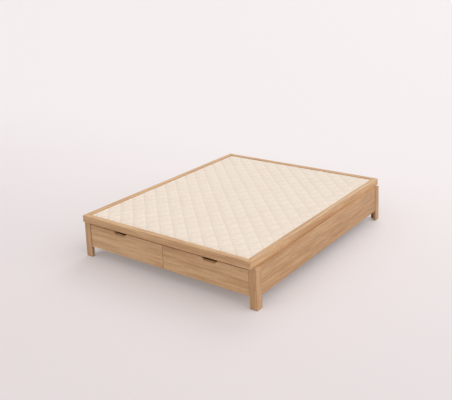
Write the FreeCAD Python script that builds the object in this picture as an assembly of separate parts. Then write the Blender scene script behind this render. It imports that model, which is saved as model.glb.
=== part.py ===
import FreeCAD, Part
import math
import os

# Driving sizes in millimetres. X runs across the bed, Y from foot to head, Z up from the floor.
deck_w = 1520.0
deck_l = 1880.0
rail_w = 42.0
rail_h = 55.0
base_h = 300.0
clear_h = 90.0

# Legs and panels.
leg_proud = 22.0
lip_over = 32.0
head_over = 32.0
board_t = 22.0
leg_face = 62.0
leg_depth = 60.0
panel_t = 18.0
pad_t = 3.0

# Deck layers, from the bearers up to the quilted cover.
bearer_t = 20.0
bearer_w = 90.0
bearer_count = 7
deck_t = 9.0
foam_t = 14.0
cover_t = 14.0
cover_gap = 0.5
seam_gap = 1.0

# Quilting of the cover.
quilt_pitch = 136.0
channel_w = 30.0
channel_d = 4.5
edge_drop = 8.0
edge_round = 12.0
crown_in = 36.0
crown_drop = 2.0

# Drawers.
front_t = 20.0
front_setback = 3.0
front_gap = 3.5
split_gap = 3.0
stretcher_h = 20.0
stretcher_set = 5.0
front_top_gap = 5.0
drawer_depth = 640.0
side_t = 12.0
bottom_t = 6.0
box_lift = 9.0
box_below_notch = 3.0
notch_w = 88.0
notch_depth = 25.0
notch_out = 53.0
notch_round = 8.0
notch_rise = 9.0
divider_t = 18.0

# Telescopic runners.
runner_gap = 13.0
runner_h = 46.0
runner_len = 600.0
runner_t = 1.5
runner_clear = 0.5
runner_setback = 9.0
runner_board_t = 18.0
runner_board_over = 40.0
runner_board_below = 12.0

# Cleats, blocks, brackets and centre legs.
cleat_w = 60.0
cleat_h = 30.0
block_leg = 20.0
block_margin = 10.0
bracket_arm = 40.0
bracket_t = 2.0
bracket_h = 18.0
post_w = 44.0
post_pad_w = 36.0
post_foot_in = 625.0
post_head_in = 470.0
foot_pad_margin = 3.0

# How far a cutting shape stands past the surface it cuts.
cut_over = 1.0

# Derived places.
frame_w = deck_w + 2 * rail_w
frame_l = deck_l + 2 * rail_w
half_w = frame_w / 2
half_l = frame_l / 2
outer_x = half_w + leg_proud
inner_x = outer_x - board_t
leg_in_x = outer_x - leg_face
leg_front_y = -half_l + lip_over
face_back_y = leg_front_y + board_t
leg_back_y = half_l - head_over
rear_in_y = leg_back_y - board_t
front_y = leg_front_y + front_setback
front_back_y = front_y + front_t
stretcher_y0 = face_back_y + stretcher_set - board_t
stretcher_y1 = stretcher_y0 + board_t
stretcher_z = base_h - stretcher_h
front_top_z = stretcher_z - front_top_gap
notch_z = front_top_z - notch_depth
box_in_x = divider_t / 2 + runner_gap
box_out_x = leg_in_x - runner_gap
box_top_z = notch_z - box_below_notch
bottom_z = clear_h + box_lift
side_z = bottom_z + bottom_t
box_back_y = front_back_y + drawer_depth
runner_z = (side_z + box_top_z) / 2
runner_y = front_back_y + runner_setback
cleat_z = base_h - cleat_h

X = FreeCAD.Vector(1, 0, 0)
ORIGIN = FreeCAD.Vector(0, 0, 0)


def box(x0, x1, y0, y1, z0, z1):
    return Part.makeBox(x1 - x0, y1 - y0, z1 - z0, FreeCAD.Vector(x0, y0, z0))


def prism(points, along):
    corners = [FreeCAD.Vector(*p) for p in points]
    outline = Part.makePolygon(corners + corners[:1])
    return Part.Face(outline).extrude(FreeCAD.Vector(*along))


def mirrored(shape):
    return shape.mirror(ORIGIN, X)


def save(name, *solids):
    shape = solids[0] if len(solids) == 1 else Part.makeCompound(list(solids))
    shape.exportStep("parts/" + name + ".step")


def save_pair(name, right_solids):
    save("right_" + name, *right_solids)
    save("left_" + name, *[mirrored(s) for s in right_solids])


# Top frame: four rails with mitred corners.
def cross_rail(y_out, y_in):
    outer = half_w
    inner = deck_w / 2
    points = [(-outer, y_out, base_h), (outer, y_out, base_h), (inner, y_in, base_h), (-inner, y_in, base_h)]
    return prism(points, (0, 0, rail_h))


def side_rail():
    inner = deck_w / 2
    end = deck_l / 2
    points = [(half_w, -half_l, base_h), (half_w, half_l, base_h), (inner, end, base_h), (inner, -end, base_h)]
    return prism(points, (0, 0, rail_h))


# Deck cover: a padded sheet with a crown, drawn-in edges and crossing sewn channels.
def cover_ring(inset, z):
    hx = deck_w / 2 - cover_gap - inset
    hy = deck_l / 2 - cover_gap - inset
    points = [(-hx, -hy, z), (hx, -hy, z), (hx, hy, z), (-hx, hy, z), (-hx, -hy, z)]
    return Part.makePolygon([FreeCAD.Vector(*p) for p in points])


def channel(offset, angle, top_z):
    reach = deck_w + deck_l
    half = channel_w / 2
    wide = half * (channel_d + cut_over) / channel_d
    points = [(-reach, -wide, top_z + cut_over), (-reach, wide, top_z + cut_over), (-reach, 0, top_z - channel_d)]
    cutter = prism(points, (2 * reach, 0, 0))
    cutter.rotate(ORIGIN, FreeCAD.Vector(0, 0, 1), angle)
    cutter.translate(FreeCAD.Vector(offset, 0, 0))
    return cutter


def quilted_cover(z):
    top_z = z + cover_t
    rings = [cover_ring(0, z), cover_ring(0, top_z - edge_drop), cover_ring(edge_round, top_z - crown_drop)]
    rings.append(cover_ring(crown_in, top_z))
    body = Part.makeLoft(rings, True, True)
    count = int(math.ceil((deck_w + deck_l) / 2 / quilt_pitch))
    for angle in (45, -45):
        cutters = [channel(k * quilt_pitch, angle, top_z) for k in range(-count, count + 1)]
        body = body.cut(cutters)
    return body.Solids[0] if body.Solids else body


# One drawer front with a finger notch in its top edge, its floor rising to the back.
def drawer_front():
    x0 = split_gap / 2
    x1 = leg_in_x - front_gap
    centre = (x0 + x1) / 2 + notch_out
    low = notch_w / 2
    high = low + notch_depth + cut_over
    over_z = front_top_z + cut_over
    panel = box(x0, x1, front_y, front_back_y, clear_h, front_top_z)
    points = [(centre - high, front_y, over_z), (centre - low, front_y, notch_z)]
    points += [(centre + low, front_y, notch_z), (centre + high, front_y, over_z)]
    slope = [(centre - high, front_y, notch_z), (centre - high, front_back_y, notch_z)]
    slope.append((centre - high, front_back_y, notch_z + notch_rise))
    cutter = prism(points, (0, front_t, 0)).cut(prism(slope, (2 * high, 0, 0)))
    runs = [e for e in cutter.Edges if e.BoundBox.YLength > front_t / 2]
    corners = [e for e in runs if e.BoundBox.ZMax < front_top_z]
    return panel.cut(cutter.makeFillet(notch_round, corners))


# One channel-shaped runner member: wall is where its back lies and way is +1 or -1 towards its open side.
def runner_member(wall, way, depth, height):
    outer = height / 2
    inner = outer - runner_t
    tip = wall + way * depth
    web = wall + way * runner_t
    y = runner_y
    z = runner_z
    points = [(wall, y, z - outer), (tip, y, z - outer), (tip, y, z - inner), (web, y, z - inner)]
    points += [(web, y, z + inner), (tip, y, z + inner), (tip, y, z + outer), (wall, y, z + outer)]
    return prism(points, (0, runner_len, 0))


def runner_set(wall, way):
    step = runner_t + runner_clear
    fixed = runner_member(wall, way, runner_gap - runner_t - 2 * runner_clear, runner_h)
    middle = runner_member(wall + way * step, way, runner_gap - 2 * step, runner_h - 2 * step)
    far = wall + way * runner_gap
    inner = runner_member(far, -way, runner_gap - 2 * step - runner_clear, runner_h - 4 * step)
    return fixed, middle, inner


os.makedirs("parts", exist_ok=True)

save("foot_rail", cross_rail(-half_l, -deck_l / 2))
save("head_rail", cross_rail(half_l, deck_l / 2))
save_pair("rail", [side_rail()])

# Each leg is a return board on the side and a face board against its inner side.
leg_ends = {"foot": (leg_front_y, leg_front_y, face_back_y), "head": (leg_back_y - leg_depth, rear_in_y, leg_back_y)}
foot_pads = []
for end, (return_y, face_y0, face_y1) in leg_ends.items():
    return_y1 = return_y + leg_depth
    save_pair(end + "_leg_return", [box(inner_x, outer_x, return_y, return_y1, pad_t, base_h)])
    save_pair(end + "_leg_face", [box(leg_in_x, inner_x, face_y0, face_y1, pad_t, base_h)])
    m = foot_pad_margin
    pads = [box(inner_x + m, outer_x - m, return_y + m, return_y1 - m, 0, pad_t)]
    pads.append(box(leg_in_x + m, inner_x - m, face_y0 + m, face_y1 - m, 0, pad_t))
    foot_pads += pads + [mirrored(p) for p in pads]

# Panels between the legs, their inner faces level with the leg boards' inner faces.
panel_y0 = leg_front_y + leg_depth
panel_y1 = leg_back_y - leg_depth
save_pair("side_panel", [box(inner_x, inner_x + panel_t, panel_y0, panel_y1, clear_h, base_h)])
save("head_panel", box(-leg_in_x, leg_in_x, rear_in_y, rear_in_y + panel_t, clear_h, base_h))
save("stretcher", box(-leg_in_x, leg_in_x, stretcher_y0, stretcher_y1, stretcher_z, base_h))
save("divider", box(-divider_t / 2, divider_t / 2, stretcher_y1, rear_in_y, clear_h, base_h))
save_pair("cleat", [box(inner_x - cleat_w, inner_x, stretcher_y1, rear_in_y, cleat_z, base_h)])

# Boards that carry the outer runners.
board_x1 = leg_in_x + runner_board_t
board_y1 = runner_y + runner_len + runner_board_over
board_z = runner_z - runner_h / 2 - runner_board_below
save_pair("runner_board", [box(leg_in_x, board_x1, face_back_y, board_y1, board_z, cleat_z)])

# Glue blocks inside the leg corners.
blocks = []
for y, way in ((face_back_y, 1), (rear_in_y, -1)):
    z = clear_h + block_margin
    points = [(inner_x, y, z), (inner_x - block_leg, y, z), (inner_x, y + way * block_leg, z)]
    block = prism(points, (0, 0, cleat_z - block_margin - z))
    blocks += [block, mirrored(block)]
save("corner_blocks", *blocks)

# Steel brackets that tie the divider to the stretcher and to the head panel.
brackets = []
for y, way in ((stretcher_y1, 1), (rear_in_y, -1)):
    x = divider_t / 2
    z = base_h - bracket_h
    points = [(x, y, z), (x + bracket_arm, y, z), (x + bracket_arm, y + way * bracket_t, z)]
    points += [(x + bracket_t, y + way * bracket_t, z), (x + bracket_t, y + way * bracket_arm, z)]
    points.append((x, y + way * bracket_arm, z))
    bracket = prism(points, (0, 0, bracket_h))
    brackets += [bracket, mirrored(bracket)]
save("corner_brackets", *brackets)

# Centre posts under the divider.
for end, y in (("foot", post_foot_in - deck_l / 2), ("head", deck_l / 2 - post_head_in)):
    h = post_w / 2
    save("centre_leg_" + end, box(-h, h, y - h, y + h, pad_t, clear_h))
    p = post_pad_w / 2
    foot_pads.append(box(-p, p, y - p, y + p, 0, pad_t))
save("foot_pads", *foot_pads)

# Bearers, deck boards, foam and cover, one on the other inside the rails.
bearer_step = (deck_l - bearer_w) / (bearer_count - 1)
deck_z = base_h + bearer_t
for k in range(bearer_count):
    y = -deck_l / 2 + k * bearer_step
    save("bearer_%d" % (k + 1), box(-deck_w / 2, deck_w / 2, y, y + bearer_w, base_h, deck_z))
foam_z = deck_z + deck_t
half_seam = seam_gap / 2
save("deck_board_foot", box(-deck_w / 2, deck_w / 2, -deck_l / 2, -half_seam, deck_z, foam_z))
save("deck_board_head", box(-deck_w / 2, deck_w / 2, half_seam, deck_l / 2, deck_z, foam_z))
cover_z = foam_z + foam_t
foam_x = deck_w / 2 - cover_gap
foam_y = deck_l / 2 - cover_gap
save("foam_sheet", box(-foam_x, foam_x, -foam_y, foam_y, foam_z, cover_z))
save("quilted_cover", quilted_cover(cover_z))

# Two drawers, the left one a mirror of the right one.
save_pair("drawer_front", [drawer_front()])
inner_side = box(box_in_x, box_in_x + side_t, front_back_y, box_back_y, side_z, box_top_z)
outer_side = box(box_out_x - side_t, box_out_x, front_back_y, box_back_y, side_z, box_top_z)
save_pair("drawer_inner_side", [inner_side])
save_pair("drawer_outer_side", [outer_side])
back_x0 = box_in_x + side_t
back_x1 = box_out_x - side_t
save_pair("drawer_back", [box(back_x0, back_x1, box_back_y - side_t, box_back_y, side_z, box_top_z)])
save_pair("drawer_bottom", [box(box_in_x, box_out_x, front_back_y, box_back_y, bottom_z, side_z)])

# Runners on both sides of each drawer: fixed, middle and drawer members.
sets = [runner_set(divider_t / 2, 1), runner_set(leg_in_x, -1)]
for name, members in zip(("runner_fixed", "runner_middle", "runner_inner"), zip(*sets)):
    save_pair(name, list(members))
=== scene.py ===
import logging
import math
from collections.abc import Mapping
from dataclasses import dataclass
from enum import Enum

import bmesh
import bpy
from mathutils import Matrix, Vector


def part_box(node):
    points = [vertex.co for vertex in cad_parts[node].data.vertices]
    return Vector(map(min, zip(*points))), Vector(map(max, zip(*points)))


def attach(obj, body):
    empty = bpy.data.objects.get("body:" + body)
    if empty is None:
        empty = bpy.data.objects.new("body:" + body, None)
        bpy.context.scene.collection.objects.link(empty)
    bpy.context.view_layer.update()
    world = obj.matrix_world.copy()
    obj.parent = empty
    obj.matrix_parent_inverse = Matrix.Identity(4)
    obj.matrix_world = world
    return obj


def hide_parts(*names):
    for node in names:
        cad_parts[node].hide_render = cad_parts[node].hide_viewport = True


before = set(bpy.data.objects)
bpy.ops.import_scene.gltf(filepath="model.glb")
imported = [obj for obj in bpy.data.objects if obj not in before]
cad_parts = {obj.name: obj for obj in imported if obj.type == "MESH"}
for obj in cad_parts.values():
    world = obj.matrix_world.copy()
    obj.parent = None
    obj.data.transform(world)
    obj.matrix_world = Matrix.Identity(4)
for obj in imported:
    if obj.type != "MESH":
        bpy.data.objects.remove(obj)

LOG = logging.getLogger("bed_base")
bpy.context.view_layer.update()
SEAM_PITCH = 0.136
HALF = 0.5
Colour = tuple[float, float, float, float]
Triple = tuple[float, float, float]
Socket = bpy.types.NodeSocket
Value = Socket | float | Triple | Colour


class Grain(Enum):
    """The way that a board's grain runs, as the stretch of its pattern on each axis."""

    ACROSS = (0.05, 1.0, 1.0)
    ALONG = (1.0, 0.05, 1.0)
    UPRIGHT = (1.0, 1.0, 0.05)


class Side(Enum):
    """A side of the bed, seen from the foot end, as its pieces' names start."""

    LEFT = "left"
    RIGHT = "right"


@dataclass(frozen=True)
class Cloud:
    """A cloudy pattern: clouds to a metre, how many finer layers it has and how strong they are."""

    scale: float
    detail: float
    rough: float


@dataclass(frozen=True)
class Span:
    """A smooth step: the two values that it runs between, and what each of them becomes."""

    low: float
    high: float
    least: float = 0.0
    most: float = 1.0


@dataclass(frozen=True)
class Relief:
    """A fine relief: its depth in metres and how much of it shows."""

    depth: float
    strength: float


def tone(red: int, green: int, blue: int) -> Colour:
    """Turns a display colour into the linear one that shaders take.

    Args:
        red: Red from 0 to 255.
        green: Green from 0 to 255.
        blue: Blue from 0 to 255.

    Returns:
        The linear colour with full alpha.
    """
    parts = [value / 255 for value in (red, green, blue)]
    linear = [p / 12.92 if p <= 0.04045 else ((p + 0.055) / 1.055) ** 2.4 for p in parts]
    return (linear[0], linear[1], linear[2], 1.0)


class NodeSheet:
    """Adds and joins the nodes of one node tree."""

    mix_first = 6
    mix_second = 7
    mix_result = 2

    def __init__(self, tree: bpy.types.NodeTree) -> None:
        """Keeps the tree and empties it."""
        self.tree = tree
        tree.nodes.clear()

    def add(self, kind: str, **settings: object) -> bpy.types.Node:
        """Adds one node.

        Args:
            kind: The node's type name.
            settings: Properties to set on it.

        Returns:
            The new node.
        """
        node = self.tree.nodes.new(kind)
        for name, value in settings.items():
            setattr(node, name, value)
        return node

    def feed(self, socket: Socket, value: Value) -> None:
        """Joins a socket to another one, or sets its plain value.

        Args:
            socket: The input to feed.
            value: An output socket, a number, a vector or a colour.
        """
        if isinstance(value, Socket):
            self.tree.links.new(value, socket)
        else:
            socket.default_value = value

    def math(self, operation: str, first: Value, second: Value = 0.0) -> Socket:
        """Works out one sum.

        Args:
            operation: The Math node's operation.
            first: A socket or a number.
            second: A socket or a number.

        Returns:
            The result's socket.
        """
        node = self.add("ShaderNodeMath", operation=operation)
        self.feed(node.inputs[0], first)
        self.feed(node.inputs[1], second)
        return node.outputs[0]

    def weighted(self, value: Value, weight: float, rest: Value) -> Socket:
        """Multiplies a value and adds another one to it.

        Args:
            value: The value to multiply.
            weight: What it is multiplied by.
            rest: The value to add.

        Returns:
            The result's socket.
        """
        total = self.math("MULTIPLY_ADD", value, weight)
        self.feed(total.node.inputs[2], rest)
        return total

    def mix(self, factor: Value, first: Value, second: Value, mode: str = "MIX") -> Socket:
        """Mixes two colours.

        Args:
            factor: How much of the second colour shows.
            first: A socket or a colour.
            second: A socket or a colour.
            mode: The blend mode.

        Returns:
            The mixed colour's socket.
        """
        node = self.add("ShaderNodeMix", data_type="RGBA", blend_type=mode)
        self.feed(node.inputs[0], factor)
        self.feed(node.inputs[self.mix_first], first)
        self.feed(node.inputs[self.mix_second], second)
        return node.outputs[self.mix_result]

    def noise(self, vector: Socket, cloud: Cloud) -> Socket:
        """Makes a cloudy value from 0 to 1.

        Args:
            vector: The place to read it at.
            cloud: The pattern's size and layers.

        Returns:
            The value's socket.
        """
        node = self.add("ShaderNodeTexNoise")
        self.feed(node.inputs["Vector"], vector)
        node.inputs["Scale"].default_value = cloud.scale
        node.inputs["Detail"].default_value = cloud.detail
        node.inputs["Roughness"].default_value = cloud.rough
        return node.outputs[0]

    def spread(self, value: Value, span: Span) -> Socket:
        """Stretches a value's range smoothly.

        Args:
            value: The value to stretch.
            span: The range and what it becomes.

        Returns:
            The stretched value's socket.
        """
        node = self.add("ShaderNodeMapRange", interpolation_type="SMOOTHSTEP")
        self.feed(node.inputs[0], value)
        for index, number in enumerate((span.low, span.high, span.least, span.most), start=1):
            node.inputs[index].default_value = number
        return node.outputs[0]

    def mapped(self, scale: Triple = (1.0, 1.0, 1.0), shift: Triple = (0.0, 0.0, 0.0)) -> Socket:
        """Gives Object coordinates, stretched and moved.

        Args:
            scale: The stretch on each axis.
            shift: The move after the stretch.

        Returns:
            The vector's socket.
        """
        coordinates = self.add("ShaderNodeTexCoord")
        mapping = self.add("ShaderNodeMapping")
        self.feed(mapping.inputs["Vector"], coordinates.outputs["Object"])
        mapping.inputs["Scale"].default_value = scale
        mapping.inputs["Location"].default_value = shift
        return mapping.outputs[0]

    def parts(self, vector: Socket) -> tuple[Socket, Socket]:
        """Splits a vector.

        Args:
            vector: The vector's socket.

        Returns:
            The sockets of its X and its Y.
        """
        node = self.add("ShaderNodeSeparateXYZ")
        self.feed(node.inputs[0], vector)
        return node.outputs[0], node.outputs[1]


class EffectGroup:
    """A shader node group that is built once and used by several finishes."""

    name = "effect"
    inputs: tuple[tuple[str, str], ...] = ()
    outputs: tuple[tuple[str, str], ...] = ()

    @classmethod
    def tree(cls) -> bpy.types.NodeTree:
        """Gives the group's tree, built at its first use.

        Returns:
            The node tree.
        """
        found = bpy.data.node_groups.get(cls.name)
        if found:
            return found
        tree = bpy.data.node_groups.new(cls.name, "ShaderNodeTree")
        for label, kind in cls.inputs:
            tree.interface.new_socket(label, in_out="INPUT", socket_type=kind)
        for label, kind in cls.outputs:
            tree.interface.new_socket(label, in_out="OUTPUT", socket_type=kind)
        sheet = NodeSheet(tree)
        source = sheet.add("NodeGroupInput")
        target = sheet.add("NodeGroupOutput")
        for label, value in cls.effect(sheet, source.outputs).items():
            sheet.feed(target.inputs[label], value)
        return tree

    @classmethod
    def effect(cls, sheet: NodeSheet, given: Mapping[str, Socket]) -> dict[str, Socket]:
        """Builds the effect; each group has its own."""
        raise NotImplementedError

    @classmethod
    def place(cls, sheet: NodeSheet, **values: Value) -> bpy.types.Node:
        """Places the group in a material.

        Args:
            sheet: The material's sheet.
            values: What feeds each input.

        Returns:
            The group's node.
        """
        node = sheet.add("ShaderNodeGroup", node_tree=cls.tree())
        for label, value in values.items():
            sheet.feed(node.inputs[label], value)
        return node


class WoodGrain(EffectGroup):
    """Fibre bands, fine streaks and open pores that run along a stretched vector."""

    name = "wood_grain"
    inputs = (
        ("Vector", "NodeSocketVector"),
        ("Pale", "NodeSocketColor"),
        ("Dark", "NodeSocketColor"),
        ("Pore", "NodeSocketColor"),
        ("Pores", "NodeSocketFloat"),
    )
    outputs = (
        ("Color", "NodeSocketColor"),
        ("Roughness", "NodeSocketFloat"),
        ("Height", "NodeSocketFloat"),
    )
    bands = Cloud(14.0, 3.0, 0.5)
    streaks = Cloud(70.0, 4.0, 0.65)
    fibres = Cloud(320.0, 2.0, 0.6)
    openings = Cloud(900.0, 1.0, 0.4)
    band_share = 0.35
    streak_share = 0.5
    fibre_share = 0.15
    shades = Span(0.39, 0.61)
    pore_edge = Span(0.6, 0.7)
    pore_depth = 0.8
    dullness = Span(0.3, 0.7, 0.42, 0.58)

    @classmethod
    def effect(cls, sheet: NodeSheet, given: Mapping[str, Socket]) -> dict[str, Socket]:
        """Mixes three widths of streak and cuts the pores.

        Args:
            sheet: The group's sheet.
            given: The group's input sockets.

        Returns:
            The socket for each output.
        """
        vector = given["Vector"]
        fibres = sheet.noise(vector, cls.fibres)
        streaks = sheet.math("MULTIPLY", sheet.noise(vector, cls.streaks), cls.streak_share)
        figure = sheet.weighted(sheet.noise(vector, cls.bands), cls.band_share, streaks)
        shade = sheet.spread(sheet.weighted(fibres, cls.fibre_share, figure), cls.shades)
        colour = sheet.mix(shade, given["Dark"], given["Pale"])
        pores = sheet.spread(sheet.noise(vector, cls.openings), cls.pore_edge)
        mask = sheet.math("MULTIPLY", pores, given["Pores"])
        return {
            "Color": sheet.mix(mask, colour, given["Pore"]),
            "Roughness": sheet.spread(fibres, cls.dullness),
            "Height": sheet.math("SUBTRACT", shade, sheet.math("MULTIPLY", pores, cls.pore_depth)),
        }


class ClothWeave(EffectGroup):
    """Crossing threads with slubs, painted shade in the hollows between the threads, and a soft
    random change of tone.
    """

    name = "cloth_weave"
    inputs = (
        ("Vector", "NodeSocketVector"),
        ("Thread", "NodeSocketColor"),
        ("Shade", "NodeSocketColor"),
    )
    outputs = (
        ("Color", "NodeSocketColor"),
        ("Roughness", "NodeSocketFloat"),
        ("Height", "NodeSocketFloat"),
    )
    thread_scale = 160.0
    thread_waver = 0.6
    thread_detail = 1.0
    slubs = Cloud(90.0, 3.0, 0.6)
    clouds = Cloud(5.0, 2.0, 0.5)
    hollow_share = 0.35
    cloud_shades = Span(0.35, 0.7, 0.0, 0.3)
    thread_height = 0.7
    slub_height = 0.5
    dullness = Span(0.3, 0.7, 0.82, 0.95)

    @classmethod
    def effect(cls, sheet: NodeSheet, given: Mapping[str, Socket]) -> dict[str, Socket]:
        """Crosses two sets of threads.

        Args:
            sheet: The group's sheet.
            given: The group's input sockets.

        Returns:
            The socket for each output.
        """
        vector = given["Vector"]
        threads = []
        for direction in ("X", "Y"):
            wave = sheet.add("ShaderNodeTexWave", wave_type="BANDS", bands_direction=direction)
            sheet.feed(wave.inputs["Vector"], vector)
            wave.inputs["Scale"].default_value = cls.thread_scale
            wave.inputs["Distortion"].default_value = cls.thread_waver
            wave.inputs["Detail"].default_value = cls.thread_detail
            threads.append(wave.outputs["Fac"])
        weave = sheet.math("MULTIPLY", threads[0], threads[1])
        hollows = sheet.math("SUBTRACT", 1.0, weave)
        slubs = sheet.noise(vector, cls.slubs)
        clouds = sheet.spread(sheet.noise(vector, cls.clouds), cls.cloud_shades)
        # The Shade tone is painted shade where it follows the hollows between threads, and a random
        # change of tone where it follows the clouds.
        mask = sheet.weighted(hollows, cls.hollow_share, clouds)
        lumps = sheet.math("MULTIPLY", slubs, cls.slub_height)
        return {
            "Color": sheet.mix(mask, given["Thread"], given["Shade"]),
            "Roughness": sheet.spread(slubs, cls.dullness),
            "Height": sheet.weighted(weave, cls.thread_height, lumps),
        }


@dataclass(frozen=True)
class Finish:
    """A finish with one shader, fed by a pattern."""

    label: str

    def sheet(self, name: str) -> tuple[bpy.types.Material, NodeSheet, bpy.types.Node]:
        """Starts a material with its shader joined to the output.

        Args:
            name: The material's name.

        Returns:
            The material, its sheet and its shader node.
        """
        material = bpy.data.materials.new(name)
        material.use_nodes = True
        sheet = NodeSheet(material.node_tree)
        shader = sheet.add("ShaderNodeBsdfPrincipled")
        output = sheet.add("ShaderNodeOutputMaterial")
        sheet.feed(output.inputs["Surface"], shader.outputs[0])
        return material, sheet, shader

    def bump(self, sheet: NodeSheet, height: Socket, relief: Relief) -> Socket:
        """Turns a height into a normal.

        Args:
            sheet: The material's sheet.
            height: The height, where 1 is the relief's depth.
            relief: The depth and the strength.

        Returns:
            The normal's socket.
        """
        node = sheet.add("ShaderNodeBump")
        node.inputs["Strength"].default_value = relief.strength
        node.inputs["Distance"].default_value = relief.depth
        sheet.feed(node.inputs["Height"], height)
        return node.outputs[0]


@dataclass(frozen=True)
class WoodFinish(Finish):
    """Wood with a pale and a dark tone, and pores."""

    pale: Colour
    dark: Colour
    pore: Colour
    pores: float = 0.5
    coat: float = 0.12
    coat_rough: float = 0.35
    relief: Relief = Relief(0.0006, 0.35)
    shift: Triple = (0.37, 0.71, 0.53)

    def material(self, piece: str, grain: Grain, place: int) -> bpy.types.Material:
        """Makes the wood of one board.

        Args:
            piece: The board's name.
            grain: The way that its grain runs.
            place: A number that moves the pattern, so that boards differ.

        Returns:
            The material.
        """
        material, sheet, shader = self.sheet(self.label + "_" + piece)
        across, along, up = self.shift
        vector = sheet.mapped(grain.value, (place * across, place * along, place * up))
        wood = WoodGrain.place(
            sheet, Vector=vector, Pale=self.pale, Dark=self.dark, Pore=self.pore, Pores=self.pores
        )
        sheet.feed(shader.inputs["Base Color"], wood.outputs["Color"])
        sheet.feed(shader.inputs["Roughness"], wood.outputs["Roughness"])
        sheet.feed(shader.inputs["Normal"], self.bump(sheet, wood.outputs["Height"], self.relief))
        shader.inputs["Coat Weight"].default_value = self.coat
        shader.inputs["Coat Roughness"].default_value = self.coat_rough
        return material


@dataclass(frozen=True)
class QuiltFinish(Finish):
    """Woven cover with sewn diamonds and painted shade along the seams."""

    thread: Colour
    shade: Colour
    # The seam tone is painted shade, darker where the cloth dips at the seams.
    seam_shade: Colour
    pitch: float = SEAM_PITCH
    stitch: float = 0.006
    seam_shade_reach: Span = Span(0.0, 0.007, 1.0, 0.0)
    thread_reach: Span = Span(0.0006, 0.0014, 1.0, 0.0)
    stitch_ends: Span = Span(0.08, 0.16)
    seam_shade_share: float = 0.45
    stitch_share: float = 0.8
    stitch_height: float = 1.4
    relief: Relief = Relief(0.0005, 0.4)
    sheen: float = 0.15
    sheen_rough: float = 0.5

    def seam(self, sheet: NodeSheet, along: Socket, over: Socket) -> tuple[Socket, Socket]:
        """Finds the painted seam shade and the stitches of one set of seams.

        Args:
            sheet: The material's sheet.
            along: The place along the seams, in pitches.
            over: The place across the seams, in pitches.

        Returns:
            The painted shade mask and the stitch mask.
        """
        width = self.pitch / math.sqrt(2)
        away = sheet.math("MULTIPLY", sheet.math("PINGPONG", over, HALF), width)
        line = sheet.spread(away, self.thread_reach)
        beat = sheet.math("PINGPONG", sheet.math("MULTIPLY", along, width / self.stitch), HALF)
        stitches = sheet.math("MULTIPLY", line, sheet.spread(beat, self.stitch_ends))
        return sheet.spread(away, self.seam_shade_reach), stitches

    def material(self) -> bpy.types.Material:
        """Makes the quilted cover's material.

        Returns:
            The material.
        """
        material, sheet, shader = self.sheet(self.label)
        vector = sheet.mapped()
        cloth = ClothWeave.place(sheet, Vector=vector, Thread=self.thread, Shade=self.shade)
        across, along = sheet.parts(vector)
        rise = sheet.math("DIVIDE", sheet.math("ADD", across, along), self.pitch)
        fall = sheet.math("DIVIDE", sheet.math("SUBTRACT", across, along), self.pitch)
        shade_a, stitch_a = self.seam(sheet, rise, fall)
        shade_b, stitch_b = self.seam(sheet, fall, rise)
        # Painted shade: the cloth is darkened towards the seam tone along the seams.
        seam_shades = sheet.math("MULTIPLY", sheet.math("MAXIMUM", shade_a, shade_b), self.seam_shade_share)
        stitches = sheet.math("MAXIMUM", stitch_a, stitch_b)
        colour = sheet.mix(seam_shades, cloth.outputs["Color"], self.seam_shade)
        colour = sheet.mix(sheet.math("MULTIPLY", stitches, self.stitch_share), colour, self.thread)
        height = sheet.weighted(stitches, self.stitch_height, cloth.outputs["Height"])
        sheet.feed(shader.inputs["Base Color"], colour)
        sheet.feed(shader.inputs["Roughness"], cloth.outputs["Roughness"])
        sheet.feed(shader.inputs["Normal"], self.bump(sheet, height, self.relief))
        shader.inputs["Sheen Weight"].default_value = self.sheen
        shader.inputs["Sheen Roughness"].default_value = self.sheen_rough
        return material


@dataclass(frozen=True)
class ClothFinish(Finish):
    """Felt or foam with a fine texture."""

    thread: Colour
    shade: Colour
    shift: Triple = (0.1, 0.2, 0.3)
    relief: Relief = Relief(0.0008, 0.5)

    def material(self) -> bpy.types.Material:
        """Makes the felt's or the foam's material.

        Returns:
            The material.
        """
        material, sheet, shader = self.sheet(self.label)
        vector = sheet.mapped(shift=self.shift)
        cloth = ClothWeave.place(sheet, Vector=vector, Thread=self.thread, Shade=self.shade)
        sheet.feed(shader.inputs["Base Color"], cloth.outputs["Color"])
        sheet.feed(shader.inputs["Roughness"], cloth.outputs["Roughness"])
        sheet.feed(shader.inputs["Normal"], self.bump(sheet, cloth.outputs["Height"], self.relief))
        return material


@dataclass(frozen=True)
class SteelFinish(Finish):
    """Zinc-plated steel, drawn along Y."""

    bright: Colour
    dull: Colour
    scratches: Cloud = Cloud(500.0, 3.0, 0.6)
    patches: Cloud = Cloud(30.0, 3.0, 0.6)
    shades: Span = Span(0.3, 0.7)
    dullness: Span = Span(0.3, 0.7, 0.28, 0.45)
    relief: Relief = Relief(0.0002, 0.2)

    def material(self) -> bpy.types.Material:
        """Makes the steel's material.

        Returns:
            The material.
        """
        material, sheet, shader = self.sheet(self.label)
        vector = sheet.mapped(Grain.ALONG.value)
        scratches = sheet.noise(vector, self.scratches)
        patches = sheet.spread(sheet.noise(vector, self.patches), self.shades)
        sheet.feed(shader.inputs["Base Color"], sheet.mix(patches, self.dull, self.bright))
        sheet.feed(shader.inputs["Roughness"], sheet.spread(scratches, self.dullness))
        sheet.feed(shader.inputs["Normal"], self.bump(sheet, scratches, self.relief))
        shader.inputs["Metallic"].default_value = 1.0
        return material


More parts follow.
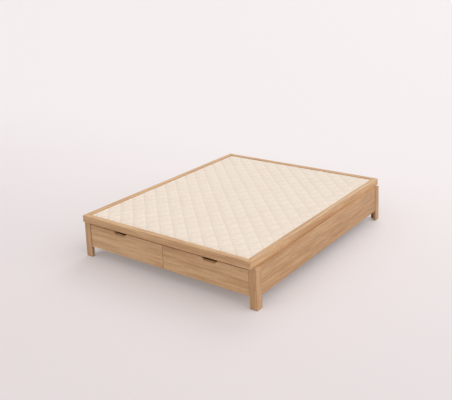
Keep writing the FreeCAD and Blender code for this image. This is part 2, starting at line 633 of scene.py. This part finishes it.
@dataclass(frozen=True)
class FloorFinish(Finish):
    """A pale floor that is darker towards the near side as painted shade, lighter towards the far
    side, and has a slight painted glow.
    """

    shaded_near: Colour
    far: Colour
    share: Colour = (0.75, 0.75, 0.75, 1.0)
    glow: float = 0.22
    clouds: Cloud = Cloud(0.4, 2.0, 0.5)
    cloud_reach: float = 0.8
    depth: Span = Span(-2.6, 3.4)
    rough: float = 0.7
    shine: float = 0.2

    def material(self) -> bpy.types.Material:
        """Makes the floor's material, whose painted glow is seen and lights nothing.

        Returns:
            The material.
        """
        material, sheet, shader = self.sheet(self.label)
        vector = sheet.mapped()
        _, along = sheet.parts(vector)
        # Painted shade: the floor darkens towards the near side along Y, and clouds break up the
        # fade.
        away = sheet.weighted(sheet.noise(vector, self.clouds), self.cloud_reach, along)
        colour = sheet.mix(sheet.spread(away, self.depth), self.shaded_near, self.far)
        # Painted light: the floor glows for camera, glossy and transmission rays only, which lifts
        # its shadows without lighting the bed; its base colour is cut to three quarters to leave room
        # for the glow.
        rays = sheet.add("ShaderNodeLightPath").outputs
        seen = sheet.math("MAXIMUM", rays["Is Camera Ray"], rays["Is Glossy Ray"])
        seen = sheet.math("MAXIMUM", seen, rays["Is Transmission Ray"])
        sheet.feed(shader.inputs["Base Color"], sheet.mix(1.0, colour, self.share, "MULTIPLY"))
        sheet.feed(shader.inputs["Emission Color"], colour)
        sheet.feed(shader.inputs["Emission Strength"], sheet.math("MULTIPLY", seen, self.glow))
        shader.inputs["Roughness"].default_value = self.rough
        shader.inputs["Specular IOR Level"].default_value = self.shine
        return material


OAK = WoodFinish("oak", tone(226, 186, 140), tone(194, 147, 102), tone(154, 106, 66))
DEEP_OAK = WoodFinish("oak", tone(214, 172, 128), tone(183, 137, 93), tone(146, 99, 61))
PINE = WoodFinish(
    "pine", tone(226, 196, 152), tone(204, 166, 118), tone(186, 140, 92), pores=0.2, coat=0.0
)
BIRCH = WoodFinish(
    "birch", tone(228, 202, 164), tone(212, 180, 138), tone(196, 160, 116), pores=0.25, coat=0.05
)
# The third tone is the painted shade of the seams.
QUILT = QuiltFinish("quilted_cloth", tone(243, 229, 214), tone(236, 220, 203), tone(208, 186, 164))
FOAM = ClothFinish("foam", tone(236, 224, 196), tone(222, 206, 172))
FELT = ClothFinish("felt", tone(92, 78, 68), tone(62, 52, 46))
STEEL = SteelFinish("zinc_steel", tone(202, 205, 208), tone(178, 182, 187))
# The first tone is the near floor's painted shade; the second is its lighter far side.
FLOOR = FloorFinish("floor", tone(232, 224, 224), tone(249, 243, 243))


def paint(piece: bpy.types.Object, material: bpy.types.Material) -> None:
    """Gives a piece one material and reports it.

    Args:
        piece: The piece's object.
        material: The material.
    """
    piece.data.materials.clear()
    piece.data.materials.append(material)
    LOG.info("%s: %s", piece.name, material.name)


def new_piece(name: str, shape: bmesh.types.BMesh) -> bpy.types.Object:
    """Makes an object of a bmesh and frees the bmesh.

    Args:
        name: The object's name.
        shape: The shape, in place.

    Returns:
        The object, linked to the scene.
    """
    mesh = bpy.data.meshes.new(name)
    shape.to_mesh(mesh)
    shape.free()
    piece = bpy.data.objects.new(name, mesh)
    bpy.context.scene.collection.objects.link(piece)
    return piece


@dataclass
class Boards:
    """CAD boards of one wood, with softened edges; start sets the first board's pattern."""

    finish: WoodFinish
    names: tuple[str, ...]
    grain: Grain
    arris: float
    start: int
    join: float = 0.00005
    bend: float = math.radians(35)
    segments: int = 2

    def dress(self) -> None:
        """Softens the edges and gives each board its own wood."""
        for index, name in enumerate(self.names):
            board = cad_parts[name]
            if self.arris > 0:
                self.soften(board)
            paint(board, self.finish.material(name, self.grain, self.start + index))

    def soften(self, board: bpy.types.Object) -> None:
        """Rounds the board's edges a little.

        Args:
            board: The board's object.
        """
        weld = board.modifiers.new("joined", "WELD")
        weld.merge_threshold = self.join
        bevel = board.modifiers.new("soft_edges", "BEVEL")
        bevel.width = self.arris
        bevel.segments = self.segments
        bevel.limit_method = "ANGLE"
        bevel.angle_limit = self.bend
        bevel.harden_normals = True


@dataclass
class TopFrame:
    """The four mitred rails round the deck."""

    arris: float = 0.002

    def dress(self) -> None:
        """Dresses the rails with the grain along each one."""
        Boards(OAK, ("foot_rail", "head_rail"), Grain.ACROSS, self.arris, start=1).dress()
        Boards(OAK, ("left_rail", "right_rail"), Grain.ALONG, self.arris, start=5).dress()


@dataclass
class Carcass:
    """Legs and panels under the frame."""

    arris: float = 0.0015

    def dress(self) -> None:
        """Dresses the legs, the panels and the stretcher."""
        legs = [side + end + "_leg_" + board for side in ("left_", "right_")
                for end in ("foot", "head") for board in ("return", "face")]
        panels = ("left_side_panel", "right_side_panel")
        Boards(DEEP_OAK, tuple(legs), Grain.UPRIGHT, self.arris, start=11).dress()
        Boards(DEEP_OAK, panels, Grain.ALONG, self.arris, start=23).dress()
        Boards(OAK, ("head_panel", "stretcher"), Grain.ACROSS, self.arris, start=27).dress()


@dataclass
class Underframe:
    """What carries the deck and the runners, out of sight."""

    bearers: int = 7
    arris: float = 0.001
    bearer_arris: float = 0.002
    deck_board_arris: float = 0.0

    def dress(self) -> None:
        """Dresses the softwood, the deck boards, the brackets and the pads."""
        long_boards = ("divider", "left_cleat", "right_cleat")
        runner_boards = ("left_runner_board", "right_runner_board")
        bearers = tuple("bearer_%d" % number for number in range(1, self.bearers + 1))
        posts = ("corner_blocks", "centre_leg_foot", "centre_leg_head")
        deck_boards = ("deck_board_foot", "deck_board_head")
        Boards(PINE, long_boards, Grain.ALONG, self.arris, start=31).dress()
        Boards(PINE, runner_boards, Grain.ALONG, self.arris, start=35).dress()
        Boards(PINE, bearers, Grain.ACROSS, self.bearer_arris, start=41).dress()
        Boards(PINE, posts, Grain.UPRIGHT, self.arris, start=51).dress()
        Boards(BIRCH, deck_boards, Grain.ALONG, self.deck_board_arris, start=55).dress()
        paint(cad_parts["corner_brackets"], STEEL.material())
        paint(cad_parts["foot_pads"], FELT.material())


@dataclass
class Drawer:
    """One drawer: its oak front, plywood box and runners; start sets its front's pattern."""

    side: Side
    start: int
    box_step: int = 2
    back_step: int = 6
    arris: float = 0.0015
    box_arris: float = 0.001

    def dress(self) -> None:
        """Dresses the drawer's boards and runners."""
        name = self.side.value
        front = (name + "_drawer_front",)
        box = (name + "_drawer_inner_side", name + "_drawer_outer_side", name + "_drawer_bottom")
        back = (name + "_drawer_back",)
        Boards(OAK, front, Grain.ACROSS, self.arris, self.start).dress()
        Boards(BIRCH, box, Grain.ALONG, self.box_arris, self.start + self.box_step).dress()
        Boards(BIRCH, back, Grain.ACROSS, self.box_arris, self.start + self.back_step).dress()
        steel = STEEL.material()
        for member in ("fixed", "middle", "inner"):
            paint(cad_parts[name + "_runner_" + member], steel)


@dataclass(frozen=True)
class SwellingCloth:
    """The cloth that swells between the seams, as the simulation takes it."""

    quality: int = 5
    mass: float = 0.15
    stretch: float = 12.0
    shear: float = 4.0
    bend: float = 0.3
    shrink: float = -0.025
    pressure: float = 4.0
    gravity: float = 0.0

    def apply(self, settings: bpy.types.ClothSettings) -> None:
        """Hands the values to a cloth modifier.

        Args:
            settings: The modifier's settings.
        """
        settings.quality = self.quality
        settings.mass = self.mass
        settings.tension_stiffness = self.stretch
        settings.compression_stiffness = self.stretch
        settings.shear_stiffness = self.shear
        settings.bending_stiffness = self.bend
        settings.shrink_min = self.shrink
        settings.use_pressure = True
        settings.uniform_pressure_force = self.pressure
        settings.effector_weights.gravity = self.gravity


@dataclass
class Deck:
    """The quilted cover on its foam sheet."""

    pitch: float = SEAM_PITCH
    steps: int = 8
    seam_drop: float = 0.0035
    crown: float = 0.002
    edge_drop: float = 0.006
    edge_round: float = 0.03
    cap: float = 0.008
    frames: int = 20
    clear: float = 0.0004
    foam_clear: float = 0.002
    foam_round: float = 0.002
    cut_slack: float = 0.00001
    join: float = 0.0015
    quick_swell: float = 0.006
    held_reach: float = 0.004
    cloth: SwellingCloth = SwellingCloth()

    def build(self) -> None:
        """Makes the foam and the cover and sets them on the base."""
        self.foam()
        self.cover()

    def foam(self) -> None:
        """Makes the foam sheet with rounded edges."""
        low, high = (Vector(corner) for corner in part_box("foam_sheet"))
        size = high - low - Vector((self.foam_clear, self.foam_clear, 0.0))
        shape = bmesh.new()
        bmesh.ops.create_cube(shape, size=1.0)
        bmesh.ops.scale(shape, vec=size, verts=shape.verts)
        bmesh.ops.translate(shape, vec=(low + high) / 2, verts=shape.verts)
        bmesh.ops.bevel(
            shape, geom=shape.edges[:], offset=self.foam_round, segments=2, profile=0.5,
            affect="EDGES", material=-1
        )
        piece = new_piece("foam_layer", shape)
        paint(piece, FOAM.material())
        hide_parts("foam_sheet")
        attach(piece, "base")

    def level(self, x: float, y: float, reach: Vector, top: float) -> float:
        """Gives the height of the sewn sheet before it swells.

        Args:
            x: The place on X.
            y: The place on Y.
            reach: Half the cover's size.
            top: The height of the CAD cover's top.

        Returns:
            The height.
        """
        edge = max(0.0, min(reach.x - abs(x), reach.y - abs(y)))
        tuck = max(0.0, 1.0 - edge / self.edge_round) ** 2
        bow = (1 - (x / reach.x) ** 2) * (1 - (y / reach.y) ** 2)
        return top - self.seam_drop - self.crown * (1 - bow) - self.edge_drop * tuck

    def sheet(self, reach: Vector, top: float) -> bmesh.types.BMesh:
        """Makes the sewn sheet before it swells, with its edges along the seams.

        Args:
            reach: Half the cover's size.
            top: The height of the CAD cover's top.

        Returns:
            The sheet's bmesh.
        """
        cell = self.pitch / math.sqrt(2)
        cells = math.ceil((reach.x + reach.y) / math.sqrt(2) / cell)
        shape = bmesh.new()
        count = 2 * cells * self.steps
        bmesh.ops.create_grid(shape, x_segments=count, y_segments=count, size=1.0)
        span = max(vert.co.x for vert in shape.verts)
        bmesh.ops.scale(shape, vec=Vector((1, 1, 1)) * (cells * cell / span), verts=shape.verts)
        turn = Matrix.Rotation(math.radians(45), 3, "Z")
        bmesh.ops.rotate(shape, cent=(0, 0, 0), matrix=turn, verts=shape.verts)
        for normal, distance in (((1, 0, 0), reach.x), ((0, 1, 0), reach.y)):
            for sign in (1, -1):
                out = Vector(normal) * sign
                bmesh.ops.bisect_plane(
                    shape, geom=shape.verts[:] + shape.edges[:] + shape.faces[:],
                    plane_co=out * distance, plane_no=out, clear_outer=True, dist=self.cut_slack
                )
        bmesh.ops.remove_doubles(shape, verts=shape.verts, dist=self.join)
        for vert in shape.verts:
            vert.co.z = self.level(vert.co.x, vert.co.y, reach, top)
        return shape

    def sewn(self, place: Vector) -> float:
        """Tells how far a place is from the nearest seam.

        Args:
            place: The place on the sheet.

        Returns:
            The distance in pitches, from 0 to 0.5.
        """
        rise = (place.x + place.y) / self.pitch
        fall = (place.x - place.y) / self.pitch
        return min(abs(value - round(value)) for value in (rise, fall))

    def swell(self, piece: bpy.types.Object) -> None:
        """Blows up the cloth between the seams and keeps the result.

        Args:
            piece: The sheet's object.
        """
        mesh = piece.data
        shape = bmesh.new()
        shape.from_mesh(mesh)
        border = {vert.index for vert in shape.verts if vert.is_boundary}
        shape.free()
        rest = [vert.co.copy() for vert in mesh.vertices]
        moved = self.simulate(piece, border)
        for vert, start, end in zip(mesh.vertices, rest, moved):
            if vert.index in border:
                continue
            step = end - start
            if step.length > self.cap:
                step *= self.cap / step.length
            vert.co = start + step

    def simulate(self, piece: bpy.types.Object, border: set[int]) -> list[Vector]:
        """Runs the cloth, held along its seams and its border.

        Args:
            piece: The sheet's object.
            border: The border's vertices.

        Returns:
            Where each vertex ends.
        """
        held = [vert.index for vert in piece.data.vertices
                if vert.index in border or self.sewn(vert.co) < self.held_reach]
        group = piece.vertex_groups.new(name="sewn")
        group.add(held, 1.0, "REPLACE")
        swelling = piece.modifiers.new("swell", "CLOTH")
        self.cloth.apply(swelling.settings)
        swelling.settings.vertex_group_mass = group.name
        swelling.point_cache.frame_start = 1
        swelling.point_cache.frame_end = self.frames
        scene = bpy.context.scene
        for number in range(1, self.frames + 1):
            scene.frame_set(number)
        ready = piece.evaluated_get(bpy.context.evaluated_depsgraph_get())
        moved = [vert.co.copy() for vert in ready.data.vertices]
        piece.modifiers.remove(swelling)
        piece.vertex_groups.remove(group)
        scene.frame_set(1)
        return moved

    def refine(self, piece: bpy.types.Object) -> None:
        """Smooths the swollen sheet with one subdivision, applied to its mesh.

        Args:
            piece: The sheet's object.
        """
        smooth = piece.modifiers.new("smooth", "SUBSURF")
        smooth.levels = 1
        smooth.render_levels = 1
        ready = piece.evaluated_get(bpy.context.evaluated_depsgraph_get())
        mesh = bpy.data.meshes.new_from_object(ready)
        piece.modifiers.remove(smooth)
        piece.data = mesh

    def close(self, piece: bpy.types.Object, bottom: float) -> None:
        """Adds the cover's sides and underside.

        Args:
            piece: The sheet's object.
            bottom: The height of the underside.
        """
        shape = bmesh.new()
        shape.from_mesh(piece.data)
        rim = [edge for edge in shape.edges if edge.is_boundary]
        lower = bmesh.ops.extrude_edge_only(shape, edges=rim)["geom"]
        for vert in (item for item in lower if isinstance(item, bmesh.types.BMVert)):
            vert.co.z = bottom
        loop = [item for item in lower if isinstance(item, bmesh.types.BMEdge) and item.is_boundary]
        filled = bmesh.ops.holes_fill(shape, edges=loop, sides=0)["faces"]
        bmesh.ops.triangulate(shape, faces=filled)
        bmesh.ops.recalc_face_normals(shape, faces=shape.faces)
        for face in shape.faces:
            face.smooth = True
        shape.to_mesh(piece.data)
        shape.free()

    def cover(self) -> None:
        """Makes the quilted cover: a sewn sheet that swells, with its sides and underside."""
        low, high = (Vector(corner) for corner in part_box("quilted_cover"))
        reach = (high - low) / 2 - Vector((self.clear, self.clear, 0.0))
        piece = new_piece("quilted_top", self.sheet(reach, high.z))
        self.swell(piece)
        self.refine(piece)
        self.close(piece, low.z + self.clear)
        paint(piece, QUILT.material())
        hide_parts("quilted_cover")
        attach(piece, "base")


@dataclass(frozen=True)
class Lamp:
    """A far, soft lamp that lights the whole floor evenly.

    Its place is a point on the line from the bed to it, its power is in watts to a square metre, and
    its spread is how wide it looks from the bed, in degrees.
    """

    name: str
    place: Triple
    power: float
    spread: float
    aim: Triple = (0.0, 0.0, 0.2)

    def build(self) -> None:
        """Adds the lamp and turns it to the bed."""
        light = bpy.data.lights.new(self.name, "SUN")
        light.energy = self.power
        light.angle = math.radians(self.spread)
        lamp = bpy.data.objects.new(self.name, light)
        lamp.location = self.place
        way = Vector(self.aim) - Vector(self.place)
        lamp.rotation_euler = way.to_track_quat("-Z", "Y").to_euler()
        bpy.context.scene.collection.objects.link(lamp)


@dataclass
class Studio:
    """Floor, lights and camera."""

    lens: float = 53.634
    sensor: float = 36.0
    shift: float = -0.2323
    place: Triple = (3.162, -4.288, 2.271)
    turn: Triple = (78.766, 2.286, 36.656)
    floor_reach: float = 60.0
    floor_cells: int = 8
    air: Colour = (1.0, 0.98, 0.97, 1.0)
    air_light: float = 0.55
    lamps: tuple[Lamp, ...] = (
        Lamp("key", (3.4, 0.8, 3.2), 1.2, 60.0),
        Lamp("rear", (-0.9, 3.4, 3.2), 0.55, 35.0),
        Lamp("fill", (-1.0, -4.0, 3.0), 0.45, 70.0),
    )

    def build(self) -> None:
        """Sets up the whole studio."""
        scene = bpy.context.scene
        scene.view_settings.view_transform = "Standard"
        self.world(scene)
        self.floor()
        for lamp in self.lamps:
            lamp.build()
        self.camera(scene)

    def world(self, scene: bpy.types.Scene) -> None:
        """Makes an even pale surround.

        Args:
            scene: The scene.
        """
        world = bpy.data.worlds.new("surround")
        scene.world = world
        world.use_nodes = True
        sheet = NodeSheet(world.node_tree)
        light = sheet.add("ShaderNodeBackground")
        light.inputs["Color"].default_value = self.air
        light.inputs["Strength"].default_value = self.air_light
        output = sheet.add("ShaderNodeOutputWorld")
        sheet.feed(output.inputs["Surface"], light.outputs[0])

    def floor(self) -> None:
        """Makes the pale floor."""
        shape = bmesh.new()
        cells = self.floor_cells
        bmesh.ops.create_grid(shape, x_segments=cells, y_segments=cells, size=self.floor_reach)
        piece = new_piece("floor", shape)
        paint(piece, FLOOR.material())

    def camera(self, scene: bpy.types.Scene) -> None:
        """Sets the camera at the photograph's angle.

        Args:
            scene: The scene.
        """
        lens = bpy.data.cameras.new("camera")
        lens.lens = self.lens
        lens.sensor_width = self.sensor
        lens.shift_y = self.shift
        camera = bpy.data.objects.new("camera", lens)
        camera.location = self.place
        camera.rotation_euler = [math.radians(angle) for angle in self.turn]
        scene.collection.objects.link(camera)
        scene.camera = camera


def main() -> None:
    """Builds and dresses the bed base, then its studio."""
    logging.basicConfig(level=logging.INFO, format="%(name)s %(message)s")
    TopFrame().dress()
    Carcass().dress()
    Underframe().dress()
    Drawer(Side.LEFT, start=71).dress()
    Drawer(Side.RIGHT, start=61).dress()
    Deck().build()
    Studio().build()


if __name__ == "__main__":
    main()
